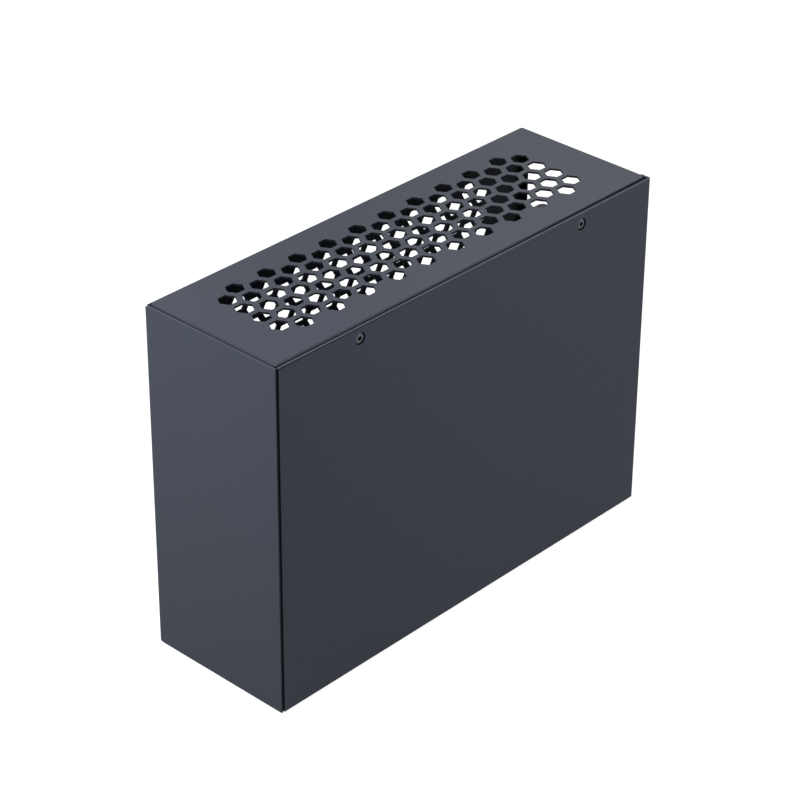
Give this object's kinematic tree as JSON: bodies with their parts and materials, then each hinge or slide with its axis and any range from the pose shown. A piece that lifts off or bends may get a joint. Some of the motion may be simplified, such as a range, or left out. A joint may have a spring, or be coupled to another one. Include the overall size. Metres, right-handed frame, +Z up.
{
  "type": "external graphics card enclosure",
  "caption": "Folded steel enclosure with hexagonal vents, a screwed side cover and an open end, holding a dock board, card socket and bracket post for one graphics card.",
  "frame": {"origin": "centre of the footprint, on the surface that the rubber feet stand on", "axes": "+X along the length towards the open end, +Y from the screwed side cover towards the vented wall, +Z up"},
  "size_m": [0.245, 0.08, 0.1785],
  "materials": {
    "black_coat": "satin powder coat on steel sheet",
    "black_zinc": "black zinc plated steel",
    "bright_zinc": "zinc plated steel",
    "rubber": "matte black rubber",
    "circuit_board": "black solder mask on glass fibre board",
    "brass": "turned brass",
    "black_plastic": "moulded black plastic",
    "port_steel": "drawn steel shield",
    "button_grey": "moulded grey plastic",
    "lamp_lens": "clear resin lens",
    "chip_resin": "moulded chip resin",
    "dark_aluminium": "black anodised aluminium",
    "coil_ferrite": "moulded ferrite",
    "can_aluminium": "bright aluminium can"
  },
  "bodies": {
    "enclosure": {"main_shell": "black_coat", "side_cover": "black_coat", "cover_screws": "black_zinc", "cover_nuts": "bright_zinc", "cover_hooks": "bright_zinc", "rubber_feet": "rubber", "bracket_post": "black_coat", "post_screws": "black_zinc", "dock_board": "circuit_board", "board_standoffs": "brass", "board_screws": "bright_zinc", "card_socket": "black_plastic", "power_socket": "black_plastic", "power_terminals": "brass", "host_ports": "port_steel", "switch_body": "black_plastic", "status_lamp": "lamp_lens", "controller_chip": "chip_resin", "controller_heatsink": "dark_aluminium", "heatsink_pins": "black_plastic", "power_coils": "coil_ferrite", "capacitors": "can_aluminium", "power_transistors": "chip_resin"},
    "latch": {"slot_latch": "black_plastic"},
    "button": {"power_button": "button_grey"}
  },
  "joints": [
    {"name": "latch_swing", "type": "hinge", "parent": "enclosure", "child": "latch", "pos_m": [-0.026, -0.012, 0.0343], "axis": [0, -1, 0], "range_deg": [0, 35]},
    {"name": "button_press", "type": "slide", "parent": "enclosure", "child": "button", "axis": [-1, 0, 0], "range_m": [0, 0.0015], "stiffness_N_per_m": 400}
  ]
}
